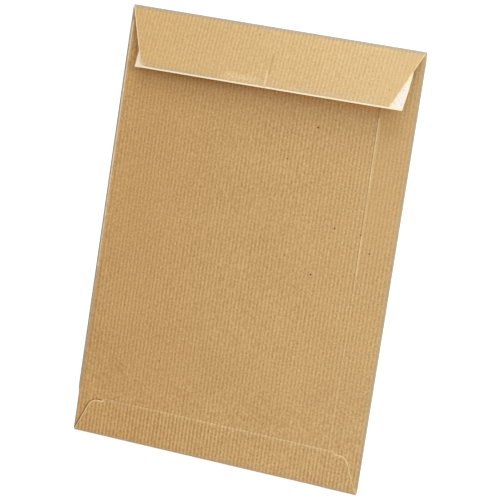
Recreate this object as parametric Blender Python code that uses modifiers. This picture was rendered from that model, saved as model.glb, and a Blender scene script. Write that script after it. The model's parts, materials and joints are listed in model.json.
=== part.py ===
"""A C4 pocket envelope of ribbed brown kraft paper, lying on its address side with its closing flap half up.

One sheet is folded and gummed into the pocket. Its closing flap carries a strip of contact
adhesive under a release liner. Metres, +Z up, +Y towards the closing flap. The origin is on the
surface that the envelope lies on, under the middle of the pocket.
"""

import math

import bmesh
import bpy
from mathutils import Vector

# The pocket and its paper
WIDTH = 0.229
LENGTH = 0.324
PAPER = 0.00014
POCKET_GAP = 0.0005
POCKET_SWELL = 0.0012
SWELL_RAMP = 0.070
SWELL_FLATNESS = 3.0
MOUTH_SETBACK = 0.0015
PANEL_SETBACK = 0.0012
RIB_PITCH = 0.0029
RIB_HEIGHT = 0.00006

# The left-hand fold is drawn in a little below this height, where the bottom flap holds it flat
PINCH = 0.0008
PINCH_HEIGHT = 0.0345
PINCH_REACH = 0.012

# The side seam: a strip from the right-hand fold, gummed over the back panel
SEAM_TOP = 0.0284
SEAM_FOOT = 0.0255
SEAM_RAMP = 0.004
GUM_GAP = 0.0001
GUM_MARGIN = 0.004
SEAM_GUM_INNER = 0.006

# The bottom flap, gummed over the back panel and the side seam, with a lower shoulder at each side
BOTTOM_DEPTH = 0.0282
BOTTOM_TAPER = math.radians(24.0)
BOTTOM_CORNER = 0.0080
BOTTOM_SHOULDER = 0.0205
BOTTOM_STEP = 0.0020
BOTTOM_GUM_INSET = 0.020

# The closing flap, which stands higher on the right than on the left
FLAP_DEPTH = 0.0440
FLAP_TAPER_LEFT = math.radians(20.6)
FLAP_TAPER_RIGHT = math.radians(20.0)
FLAP_CORNER_LEFT = 0.0070
FLAP_CORNER_RIGHT = 0.0015
FLAP_LIFT_LEFT = math.radians(13.5)
FLAP_LIFT_RIGHT = math.radians(21.5)
CORNER_NOTCH = 0.0006

# The closing strip on the inside of the flap
LINER_THICKNESS = 0.00008
LINER_WIDTH = 0.030
LINER_OVERHANG = 0.0015
LINER_LEFT_INSET = 0.0123
LINER_RIGHT_INSET = 0.0062
ADHESIVE_THICKNESS = 0.00006
ADHESIVE_WIDTH = 0.020
ADHESIVE_END_INSET = 0.0235
ADHESIVE_EDGE = 0.0035
LAYER_GAP = 0.00005

# How finely the bends and the sheet are divided
FOLD_STEPS = 3
CORNER_STEPS = 4
PANEL_ROWS = 4
STRIP_COLUMNS = 20
GUM_COLUMNS = 12
SAME_POINT = 1e-6
SAME_PLANE = math.radians(0.01)

# The heights at which the middle of the sheet lies, from the table up
SHEET_AND_GUM = PAPER + GUM_GAP
FRONT_Z = PAPER / 2
BACK_Z = FRONT_Z + PAPER + POCKET_GAP
SEAM_Z = BACK_Z + SHEET_AND_GUM
MOUTH_Z = SEAM_Z + SHEET_AND_GUM

# The bends: each turns round a centre line that lies its own radius inside the sheet's outline
LEFT_RADIUS = (BACK_Z - FRONT_Z) / 2
RIGHT_RADIUS = (SEAM_Z - FRONT_Z) / 2
BOTTOM_RADIUS = (SEAM_Z - FRONT_Z) / 2
MOUTH_RADIUS = (MOUTH_Z - FRONT_Z) / 2
LEFT_LINE = -(WIDTH / 2 - PAPER / 2 - LEFT_RADIUS)
RIGHT_LINE = WIDTH / 2 - PAPER / 2 - RIGHT_RADIUS
BOTTOM_LINE = -(LENGTH / 2 - PAPER / 2 - BOTTOM_RADIUS - SHEET_AND_GUM / 2)
MOUTH_LINE = LENGTH / 2 - PAPER / 2 - MOUTH_RADIUS
LEFT_ARC = math.pi * LEFT_RADIUS
RIGHT_ARC = math.pi * RIGHT_RADIUS
BOTTOM_ARC = math.pi * BOTTOM_RADIUS
MOUTH_ARC = math.pi * MOUTH_RADIUS

# Where the free edges of the back panel lie
BACK_FOOT = -LENGTH / 2 + PANEL_SETBACK
BACK_TOP = LENGTH / 2 - MOUTH_SETBACK
BACK_RIGHT = WIDTH / 2 - PANEL_SETBACK
BOTTOM_EDGE = -LENGTH / 2 + BOTTOM_DEPTH
FLAP_HALF_BASE = WIDTH / 2 - CORNER_NOTCH
HALF_RIBS = 2 * int((WIDTH / 2 - PANEL_SETBACK) / RIB_PITCH)


def ease(t):
    """0 before t = 0 and 1 after t = 1, with a smooth rise between them."""
    t = min(1.0, max(0.0, t))
    return t * t * (3.0 - 2.0 * t)


def spread(low, high, parts):
    """The inner dividing values of a stretch, without its ends."""
    return [low + (high - low) * k / parts for k in range(1, parts)]


def rib(x):
    """How far a rib stands up at x: the paper is ridged along the whole envelope, up to its side folds."""
    half_pitches = abs(x) / (RIB_PITCH / 2)
    if half_pitches > HALF_RIBS:
        return 0.0
    return RIB_HEIGHT * (1.0 - abs(1.0 - half_pitches % 2.0))


def seam_width(y):
    """The width of the side seam strip at y, which is a little more at the mouth than at the foot."""
    return SEAM_FOOT + (SEAM_TOP - SEAM_FOOT) * (y + LENGTH / 2) / LENGTH


def back_height(x, y):
    """The back panel's height, with the slight swell of an empty pocket."""
    across = 1.0 - min(1.0, abs(2.0 * x / WIDTH)) ** SWELL_FLATNESS
    from_foot = ease((y - BOTTOM_EDGE) / SWELL_RAMP)
    from_mouth = ease((BACK_TOP - y) / SWELL_RAMP)
    return BACK_Z + POCKET_SWELL * across * from_foot * from_mouth


def bottom_flap_height(x, y):
    """The bottom flap lies on the back panel, and a sheet higher where it passes over the seam."""
    seam_edge = WIDTH / 2 - seam_width(BOTTOM_EDGE)
    over_seam = ease((x - seam_edge + SEAM_RAMP) / SEAM_RAMP)
    return back_height(x, y) + SHEET_AND_GUM * (1.0 + over_seam)


def pinched(x, y):
    """x at the height y, drawn in near the left-hand fold's lower end."""
    held = 1.0 - ease((y - BOTTOM_EDGE) / (PINCH_HEIGHT - BOTTOM_DEPTH))
    near_fold = 1.0 - ease((x + WIDTH / 2) / PINCH_REACH)
    return x + PINCH * held * near_fold


def flap_lift(x):
    """The angle between the closing flap and the pocket at x."""
    return FLAP_LIFT_LEFT + (FLAP_LIFT_RIGHT - FLAP_LIFT_LEFT) * (x / WIDTH + 0.5)


def on_closing_flap(x, depth, inside=0.0):
    """A point of the closing flap, at a depth from its fold and a distance off its inner side."""
    lift = flap_lift(x)
    y = MOUTH_LINE + MOUTH_RADIUS * math.sin(lift)
    z = FRONT_Z + MOUTH_RADIUS * (1.0 + math.cos(lift))
    return Vector(
        (
            x,
            y - depth * math.cos(lift) - inside * math.sin(lift),
            z + depth * math.sin(lift) - inside * math.cos(lift),
        )
    )


def folded(u, v):
    """Where the point (u, v) of the flat blank lies in the folded envelope."""
    if v > MOUTH_LINE:
        return over_mouth_fold(u, v - MOUTH_LINE)
    if v < BOTTOM_LINE:
        return over_bottom_fold(u, BOTTOM_LINE - v)
    if u < LEFT_LINE:
        x, z = round_side_fold(LEFT_LINE, -1, LEFT_RADIUS, LEFT_LINE - u)
        if z is None:
            z = back_height(x, v) + rib(x)
        return Vector((pinched(x, v), v, z))
    if u > RIGHT_LINE:
        x, z = round_side_fold(RIGHT_LINE, 1, RIGHT_RADIUS, u - RIGHT_LINE)
        if z is None:
            z = back_height(x, v) + rib(x) + SHEET_AND_GUM
        return Vector((x, v, z))
    return Vector((pinched(u, v), v, FRONT_Z))


def round_side_fold(line, way, radius, run):
    """x and z a run beyond a side fold's line, with z None once the bend is passed."""
    arc = math.pi * radius
    if run > arc:
        return line - way * (run - arc), None
    turn = run / radius
    return line + way * radius * math.sin(turn), FRONT_Z + radius * (1.0 - math.cos(turn))


def over_mouth_fold(x, run):
    """A point of the closing flap or its fold, a run beyond the fold's line."""
    if run > MOUTH_ARC:
        return on_closing_flap(x, run - MOUTH_ARC) + Vector((0.0, 0.0, rib(x)))
    share = run / MOUTH_ARC
    turn = share * (math.pi - flap_lift(x))
    y = MOUTH_LINE + MOUTH_RADIUS * math.sin(turn)
    return Vector((x, y, FRONT_Z + MOUTH_RADIUS * (1.0 - math.cos(turn)) + share * rib(x)))


def over_bottom_fold(x, run):
    """A point of the bottom flap or its fold, a run beyond the fold's line."""
    if run > BOTTOM_ARC:
        y = BOTTOM_LINE + run - BOTTOM_ARC
        return Vector((pinched(x, y), y, bottom_flap_height(x, y) + rib(x)))
    share = run / BOTTOM_ARC
    turn = share * math.pi
    radius = (bottom_flap_height(x, BOTTOM_LINE) - FRONT_Z) / 2
    y = BOTTOM_LINE - radius * math.sin(turn)
    return Vector((pinched(x, y), y, FRONT_Z + radius * (1.0 - math.cos(turn)) + share * rib(x)))


def flap_outline(line, way, arc, depth, tapers, corners, step=0.0):
    """A flap's outline in the flat blank, from its fold outwards.

    way is 1 up the blank and -1 down it. tapers and corners hold the slant and the corner radius
    of the left-hand side and then of the right-hand side. step is how much lower the flap's
    shoulders lie than the middle of its edge.
    """
    root = line + way * arc
    end = root + way * (depth - step)
    shoulder = WIDTH / 2 - BOTTOM_SHOULDER
    outline = [(FLAP_HALF_BASE, line), (FLAP_HALF_BASE, root)]
    for side, taper, corner in ((1, tapers[1], corners[1]), (-1, tapers[0], corners[0])):
        inset = (depth - step) * math.tan(taper)
        # The corner's centre is one radius from the end edge and one from the slanting side.
        centre_x = FLAP_HALF_BASE - inset + corner * math.tan(taper) - corner / math.cos(taper)
        angles = [taper + (math.pi / 2 - taper) * k / CORNER_STEPS for k in range(CORNER_STEPS + 1)]
        half = [
            (side * (centre_x + corner * math.cos(angle)), end - way * corner * (1.0 - math.sin(angle)))
            for angle in angles
        ]
        if step:
            half += [(side * shoulder, end), (side * (shoulder - step), end + way * step)]
        outline += half[::side]
    return outline + [(-FLAP_HALF_BASE, root), (-FLAP_HALF_BASE, line)]


def blank_outlines():
    """The five panels of the flat blank, each as the points of its outline."""
    back_run = BACK_RIGHT - LEFT_LINE
    back_end = LEFT_LINE - LEFT_ARC - back_run
    seam_foot = RIGHT_LINE + RIGHT_ARC + RIGHT_LINE - WIDTH / 2 + seam_width(BACK_FOOT)
    seam_top = RIGHT_LINE + RIGHT_ARC + RIGHT_LINE - WIDTH / 2 + seam_width(BACK_TOP)
    bottom_depth = BOTTOM_EDGE - BOTTOM_LINE
    flap_tapers = (FLAP_TAPER_LEFT, FLAP_TAPER_RIGHT)
    flap_corners = (FLAP_CORNER_LEFT, FLAP_CORNER_RIGHT)
    bottom_tapers = (BOTTOM_TAPER, BOTTOM_TAPER)
    bottom_corners = (BOTTOM_CORNER, BOTTOM_CORNER)
    front_foot = [(LEFT_LINE, BOTTOM_LINE), (RIGHT_LINE, BOTTOM_LINE)]
    front_top = [(RIGHT_LINE, MOUTH_LINE), (LEFT_LINE, MOUTH_LINE)]
    return [
        front_foot + front_top,
        [(back_end, BACK_FOOT), (LEFT_LINE, BACK_FOOT), (LEFT_LINE, BACK_TOP), (back_end, BACK_TOP)],
        [(RIGHT_LINE, BACK_FOOT), (seam_foot, BACK_FOOT), (seam_top, BACK_TOP), (RIGHT_LINE, BACK_TOP)],
        flap_outline(MOUTH_LINE, 1, MOUTH_ARC, FLAP_DEPTH, flap_tapers, flap_corners),
        flap_outline(BOTTOM_LINE, -1, BOTTOM_ARC, bottom_depth, bottom_tapers, bottom_corners, BOTTOM_STEP),
    ]


def column_lines():
    """The lines along the blank that divide it at each rib's crest and foot, and through its side folds."""
    seam_edge = WIDTH / 2 - seam_width(BOTTOM_EDGE)
    lines = [-FLAP_HALF_BASE, FLAP_HALF_BASE, seam_edge - SEAM_RAMP, seam_edge]
    for k in range(-HALF_RIBS, HALF_RIBS + 1):
        x = k * RIB_PITCH / 2
        lines += [x, 2 * LEFT_LINE - LEFT_ARC - x]
        if x > WIDTH / 2 - SEAM_TOP:
            lines += [2 * RIGHT_LINE + RIGHT_ARC - x]
    lines += [LEFT_LINE - LEFT_ARC] + spread(LEFT_LINE - LEFT_ARC, LEFT_LINE, FOLD_STEPS)
    lines += [RIGHT_LINE + RIGHT_ARC] + spread(RIGHT_LINE, RIGHT_LINE + RIGHT_ARC, FOLD_STEPS)
    return lines


def row_lines():
    """The lines across the blank that divide it into rows and through its end folds."""
    pinch_end = PINCH_HEIGHT - LENGTH / 2
    lines = [BACK_FOOT, BACK_TOP, BOTTOM_EDGE, pinch_end] + spread(pinch_end, BACK_TOP, PANEL_ROWS)
    lines += [BOTTOM_LINE - BOTTOM_ARC] + spread(BOTTOM_LINE - BOTTOM_ARC, BOTTOM_LINE, FOLD_STEPS)
    lines += [MOUTH_LINE + MOUTH_ARC] + spread(MOUTH_LINE, MOUTH_LINE + MOUTH_ARC, FOLD_STEPS)
    return lines


def divide(bm, position, normal):
    """Cuts a flat mesh along one straight line and keeps both sides."""
    everything = bm.verts[:] + bm.edges[:] + bm.faces[:]
    bmesh.ops.bisect_plane(bm, geom=everything, plane_co=position, plane_no=normal, dist=SAME_POINT / 10)


def material(name, colour, roughness):
    """A plain paper-like finish."""
    made = bpy.data.materials.new(name)
    made.use_nodes = True
    shader = made.node_tree.nodes["Principled BSDF"]
    shader.inputs["Base Color"].default_value = (*colour, 1.0)
    shader.inputs["Roughness"].default_value = roughness
    shader.inputs["Metallic"].default_value = 0.0
    return made


def sheet_object(name, bm, thickness, collection, finish=None):
    """A sheet of even thickness about the surface in bm."""
    mesh = bpy.data.meshes.new(name)
    bm.to_mesh(mesh)
    bm.free()
    made = bpy.data.objects.new(name, mesh)
    collection.objects.link(made)
    if finish:
        mesh.materials.append(finish)
    solidify = made.modifiers.new("thickness", "SOLIDIFY")
    solidify.thickness = thickness
    solidify.offset = 0.0
    solidify.use_even_offset = True
    return made


def patch(low, high, columns, rows, place):
    """A rectangular patch, from the corner low to the corner high of a flat plane, laid on a surface."""
    bm = bmesh.new()
    bmesh.ops.create_grid(bm, x_segments=columns, y_segments=rows, size=0.5)
    for vert in bm.verts:
        u = low[0] + (high[0] - low[0]) * (vert.co.x + 0.5)
        v = low[1] + (high[1] - low[1]) * (vert.co.y + 0.5)
        vert.co = place(u, v)
    return bm


def folded_sheet(collection, finish):
    """The kraft sheet: cut as a flat blank, creased, and folded into the pocket and its flaps."""
    bm = bmesh.new()
    for outline in blank_outlines():
        corners = [bm.verts.new((u, v, 0.0)) for u, v in outline]
        bm.faces.new(corners)
    for u in column_lines():
        divide(bm, (u, 0.0, 0.0), (1.0, 0.0, 0.0))
    for v in row_lines():
        divide(bm, (0.0, v, 0.0), (0.0, 1.0, 0.0))
    bmesh.ops.remove_doubles(bm, verts=bm.verts[:], dist=SAME_POINT)
    bmesh.ops.recalc_face_normals(bm, faces=bm.faces[:])
    for vert in bm.verts:
        vert.co = folded(vert.co.x, vert.co.y)
    bmesh.ops.dissolve_limit(bm, angle_limit=SAME_PLANE, verts=bm.verts[:], edges=bm.edges[:])
    return sheet_object("envelope", bm, PAPER, collection, finish)


def gum_line(name, low, high, columns, rows, height, collection):
    """A gummed band, which reaches from the middle of one layer to the middle of the next."""
    def place(x, y):
        return Vector((x, y, height(x, y) + (RIB_HEIGHT - SHEET_AND_GUM) / 2))

    bm = patch(low, high, columns, rows, place)
    band = sheet_object(name, bm, SHEET_AND_GUM, collection)
    band.hide_render = True
    band.display_type = "WIRE"
    return band


def join(target, tool):
    """Makes the tool's solid part of the target's."""
    union = target.modifiers.new("gummed to " + tool.name, "BOOLEAN")
    union.operation = "UNION"
    union.solver = "EXACT"
    union.object = tool


def gum_the_seams(envelope, collection):
    """Bonds the side seam strip and the bottom flap to the back panel."""
    def seam_height(x, y):
        return back_height(x, y) + SHEET_AND_GUM

    side = gum_line(
        "side_gum",
        (WIDTH / 2 - SEAM_FOOT + GUM_MARGIN, BOTTOM_EDGE + GUM_MARGIN),
        (WIDTH / 2 - SEAM_GUM_INNER, BACK_TOP - GUM_MARGIN),
        2,
        PANEL_ROWS,
        seam_height,
        collection,
    )
    bottom = gum_line(
        "bottom_gum",
        (-WIDTH / 2 + BOTTOM_GUM_INSET, BACK_FOOT + GUM_MARGIN),
        (WIDTH / 2 - BOTTOM_GUM_INSET, BOTTOM_EDGE - GUM_MARGIN),
        GUM_COLUMNS,
        1,
        bottom_flap_height,
        collection,
    )
    join(envelope, side)
    join(envelope, bottom)


def closing_strip(collection, adhesive_finish, liner_finish):
    """The adhesive on the flap's inner side and the release liner that covers it."""
    adhesive_middle = PAPER / 2 + LAYER_GAP + ADHESIVE_THICKNESS / 2
    liner_middle = adhesive_middle + ADHESIVE_THICKNESS / 2 + LAYER_GAP + LINER_THICKNESS / 2
    liner_edge = FLAP_DEPTH + LINER_OVERHANG
    adhesive_edge = FLAP_DEPTH - ADHESIVE_EDGE

    def against_paper(x, depth):
        return on_closing_flap(x, depth, adhesive_middle)

    def over_adhesive(x, depth):
        return on_closing_flap(x, depth, liner_middle)

    adhesive = patch(
        (-WIDTH / 2 + ADHESIVE_END_INSET, adhesive_edge - ADHESIVE_WIDTH),
        (WIDTH / 2 - ADHESIVE_END_INSET, adhesive_edge),
        STRIP_COLUMNS,
        1,
        against_paper,
    )
    liner = patch(
        (-WIDTH / 2 + LINER_LEFT_INSET, liner_edge - LINER_WIDTH),
        (WIDTH / 2 - LINER_RIGHT_INSET, liner_edge),
        STRIP_COLUMNS,
        1,
        over_adhesive,
    )
    sheet_object("adhesive_strip", adhesive, ADHESIVE_THICKNESS, collection, adhesive_finish)
    sheet_object("release_liner", liner, LINER_THICKNESS, collection, liner_finish)


def main():
    for old in list(bpy.data.objects):
        bpy.data.objects.remove(old)
    parts = bpy.data.collections.new("mailing_envelope")
    tools = bpy.data.collections.new("joining_tools")
    bpy.context.scene.collection.children.link(parts)
    bpy.context.scene.collection.children.link(tools)
    kraft = material("ribbed_kraft", (0.53, 0.34, 0.16), 0.75)
    adhesive = material("contact_adhesive", (0.80, 0.72, 0.52), 0.35)
    silicone_paper = material("silicone_paper", (0.86, 0.82, 0.74), 0.45)
    envelope = folded_sheet(parts, kraft)
    gum_the_seams(envelope, tools)
    closing_strip(parts, adhesive, silicone_paper)


main()
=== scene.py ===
"""A C4 pocket envelope of ribbed brown kraft paper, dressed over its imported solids.

The envelope lies on its address side on a pale floor, with its seamed back up and its closing
flap half open. Everything is in metres, +Z up, +Y towards the closing flap.
"""

from __future__ import annotations

import json
import logging
import math
from abc import ABC, abstractmethod
from dataclasses import dataclass, field
from enum import Enum
from functools import cached_property
from typing import Any, Callable

import bmesh
import bpy
from mathutils import Matrix, Vector

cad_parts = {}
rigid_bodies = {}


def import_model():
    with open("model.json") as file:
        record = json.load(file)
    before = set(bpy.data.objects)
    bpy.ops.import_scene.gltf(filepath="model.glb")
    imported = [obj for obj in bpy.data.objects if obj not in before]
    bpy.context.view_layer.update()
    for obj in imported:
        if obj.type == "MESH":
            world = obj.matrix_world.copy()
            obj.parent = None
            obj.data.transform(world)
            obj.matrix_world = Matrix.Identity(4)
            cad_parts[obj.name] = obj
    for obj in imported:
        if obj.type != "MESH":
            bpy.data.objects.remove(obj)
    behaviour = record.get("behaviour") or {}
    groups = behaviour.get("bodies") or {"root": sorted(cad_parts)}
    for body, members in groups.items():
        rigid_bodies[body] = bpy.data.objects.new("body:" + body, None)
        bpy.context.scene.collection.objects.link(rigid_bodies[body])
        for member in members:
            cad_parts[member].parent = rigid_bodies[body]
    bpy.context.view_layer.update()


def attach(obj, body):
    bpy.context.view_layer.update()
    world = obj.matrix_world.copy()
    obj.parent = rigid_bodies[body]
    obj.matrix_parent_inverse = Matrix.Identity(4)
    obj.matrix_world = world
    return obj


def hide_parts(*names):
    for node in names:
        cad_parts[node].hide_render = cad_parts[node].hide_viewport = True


LOG = logging.getLogger("envelope")

Pair = tuple[float, float]
Triple = tuple[float, float, float]
Colour = Triple

# Thin lines painted on the paper: painted shadow beside an edge or in a gap, a pale cut edge that is partly
# a painted highlight, and the painted highlight on a fold's rounded ridge.
PAINTED_SHADOW: Colour = (0.235, 0.120, 0.040)
PALE_EDGE_AND_HIGHLIGHT: Colour = (0.860, 0.650, 0.340)
FOLD_HIGHLIGHT: Colour = (0.920, 0.740, 0.490)

# The heights between which the front panel ends and all that lies over it begins.
UPPER: Pair = (0.0003, 0.0005)

# The angle between two faces from which their common edge stays sharp.
SHARP_ANGLE = math.radians(50.0)


class Relief(Enum):
    """Which attribute of the paper's mesh a value is kept in."""

    RIB = "rib_share"
    CUT_EDGE = "cut_edge"
    CREST = "rib_crest"
    DEPTH = "flap_depth"


class StripLayer(Enum):
    """The layers of the closing strip, in order from the flap's paper outwards."""

    ADHESIVE = "adhesive"
    LINER = "liner"


def ease(t: float) -> float:
    """A smooth rise from 0 at t = 0 and before it to 1 at t = 1 and after it."""
    t = min(1.0, max(0.0, t))
    return t * t * (3.0 - 2.0 * t)


def bump(t: float) -> float:
    """A smooth bump of height 1 at t = 0, which is 0 from t = 1 and t = -1 outwards."""
    return ease(1.0 - abs(t))


def spread(low: float, high: float, parts: int) -> list[float]:
    """The values that divide a stretch into equal parts, without its two ends."""
    return [low + (high - low) * k / parts for k in range(1, parts)]


class NodeSheet:
    """A node tree under construction, with short calls for adding and linking nodes."""

    def __init__(self, tree: bpy.types.NodeTree) -> None:
        """Starts on the shader or geometry tree that the nodes go into."""
        self.tree = tree

    def feed(self, node: bpy.types.Node, inputs: dict[Any, Any]) -> None:
        """Sets or links some of a node's inputs.

        Args:
            node: The node.
            inputs: Values or output sockets, by the input's name or number.
        """
        for name, value in inputs.items():
            if isinstance(value, bpy.types.NodeSocket):
                self.tree.links.new(value, node.inputs[name])
            else:
                node.inputs[name].default_value = value

    def add(self, kind: str, inputs: dict[Any, Any] | None = None, **settings: Any) -> bpy.types.Node:
        """Adds one node.

        Args:
            kind: The node's type name.
            inputs: Values or output sockets, by the input's name or number.
            **settings: Values for the node's own properties.

        Returns:
            The new node.
        """
        node = self.tree.nodes.new(kind)
        for name, value in settings.items():
            setattr(node, name, value)
        self.feed(node, inputs or {})
        return node

    def maths(self, operation: str, *values: Any, clamp: bool = False) -> Any:
        """The result of one Math node, from numbers or sockets in the order of its inputs."""
        node = self.add("ShaderNodeMath", dict(enumerate(values)), operation=operation, use_clamp=clamp)
        return node.outputs[0]

    def product(self, first: Any, *others: Any) -> Any:
        """The product of some numbers and sockets.

        Args:
            first: A socket.
            *others: Numbers or sockets.

        Returns:
            The product's socket.
        """
        for other in others:
            first = self.maths("MULTIPLY", first, other)
        return first

    def vectors(self, operation: str, first: Any, second: Any) -> Any:
        """The outputs of one Vector Math node: first its vector, then its number."""
        return self.add("ShaderNodeVectorMath", {0: first, 1: second}, operation=operation).outputs

    def ramp(self, value: Any, low: float, high: float, to_low: float = 0.0, to_high: float = 1.0) -> Any:
        """A smooth step of a value, from to_low at low to to_high at high, which may lie below low."""
        inputs = {"Value": value, "From Min": low, "From Max": high, "To Min": to_low, "To Max": to_high}
        return self.add("ShaderNodeMapRange", inputs, interpolation_type="SMOOTHSTEP").outputs["Result"]

    def noise(self, vector: Any, scale: float, detail: float, seed: Any) -> Any:
        """Noise about 0.5 on the coordinates in vector, with so many waves to the metre."""
        inputs = {"Vector": vector, "W": seed, "Scale": scale, "Detail": detail}
        return self.add("ShaderNodeTexNoise", inputs, noise_dimensions="4D").outputs[0]

    def blend(self, factor: Any, first: Any, second: Any, how: str = "MIX") -> Any:
        """Mixes two colours.

        Args:
            factor: How much of the second colour there is.
            first: A colour or a colour socket.
            second: A colour or a colour socket.
            how: The blend type.

        Returns:
            The mixed colour's socket.
        """
        node = self.add("ShaderNodeMix", data_type="RGBA", blend_type=how, clamp_result=False)
        for index, value in ((0, factor), (6, first), (7, second)):
            self.feed(node, {index: (*value, 1.0) if isinstance(value, tuple) else value})
        return node.outputs[2]


class PaintSheet(NodeSheet):
    """A material under construction, with its coordinates and its colour so far."""

    def __init__(self, name: str) -> None:
        """Begins the material.

        Args:
            name: The material's name.
        """
        self.material = bpy.data.materials.new(name)
        self.material.use_nodes = True
        super().__init__(self.material.node_tree)
        self.shader = self.tree.nodes["Principled BSDF"]
        self.place = self.add("ShaderNodeTexCoord").outputs["Object"]
        self.colour: Any = None

    @cached_property
    def axes(self) -> Any:
        """The sockets of the three coordinates."""
        return self.add("ShaderNodeSeparateXYZ", {0: self.place}).outputs

    @cached_property
    def flat(self) -> Any:
        """The socket of a point's place in the plan."""
        return self.add("ShaderNodeCombineXYZ", {0: self.axes[0], 1: self.axes[1]}).outputs[0]

    @cached_property
    def upper(self) -> Any:
        """A socket that is 0 on the front panel and 1 on all that lies over it."""
        return self.ramp(self.axes[2], *UPPER)

    def kept(self, relief: Relief) -> Any:
        """The socket of a value that the piece's mesh keeps."""
        return self.add("ShaderNodeAttribute", attribute_name=relief.value).outputs["Fac"]

    def mottle(self, scale: float, detail: float, seed: float, stretch: Triple = (1.0, 1.0, 1.0)) -> Any:
        """Noise about 0.5 that is fixed to the object.

        Args:
            scale: How many of its waves make a metre.
            detail: How many finer layers it has.
            seed: Which of the noise's patterns is used.
            stretch: How much denser it is along X, Y and Z.

        Returns:
            The noise's socket.
        """
        laid = self.add("ShaderNodeMapping", {"Vector": self.place, "Scale": stretch}).outputs[0]
        return self.noise(laid, scale, detail, seed)

    def cover(self, amount: Any, colour: Any) -> None:
        """Lays a colour over the colour so far, by an amount from 0 to 1."""
        self.colour = self.blend(amount, self.colour, colour)

    def tint(self, amount: Any, factors: Any) -> None:
        """Multiplies the colour so far by three factors, by an amount from 0 to 1."""
        self.colour = self.blend(amount, self.colour, factors, "MULTIPLY")

    def emboss(self, height: Any, distance: float, strength: float) -> None:
        """Gives the surface its fine relief, from a height of 0 to 1 that stands for a distance."""
        inputs = {"Strength": strength, "Distance": distance, "Height": height}
        self.feed(self.shader, {"Normal": self.add("ShaderNodeBump", inputs).outputs[0]})


@dataclass(frozen=True)
class Finish(ABC):
    """What every finish has: a name, and the making of its material."""

    name: str

    @abstractmethod
    def paint(self, sheet: PaintSheet) -> None:
        """Lays the finish's colour and surface on its material."""

    def build(self) -> bpy.types.Material:
        """Makes the material.

        Returns:
            The finished material.
        """
        sheet = PaintSheet(self.name)
        self.paint(sheet)
        sheet.feed(sheet.shader, {"Base Color": sheet.colour})
        return sheet.material


@dataclass(frozen=True)
class Speck:
    """A dark chip in the paper, by its place on the envelope's back."""

    x: float
    y: float
    radius: float


@dataclass(frozen=True)
class FlapMark:
    """A mark along the closing flap: a band between two places across it and two depths from its fold."""

    left: float
    right: float
    near: float
    far: float
    blur: float
    strength: float
    colour: Colour
    broken: float = 0.0


@dataclass(frozen=True)
class Stroke:
    """A thin line on the envelope's back, from one point to another."""

    start: Pair
    end: Pair
    half_width: float
    strength: float
    colour: Colour
    broken: float = 0.0
    beaded: float = 0.0


@dataclass(frozen=True)
class SlantLine:
    """The pale line along one slanting side of the closing flap: partly the cut paper's own paleness and
    partly a painted highlight.
    """

    side: float
    base: float
    slope: float
    width: float
    strength: float


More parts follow.
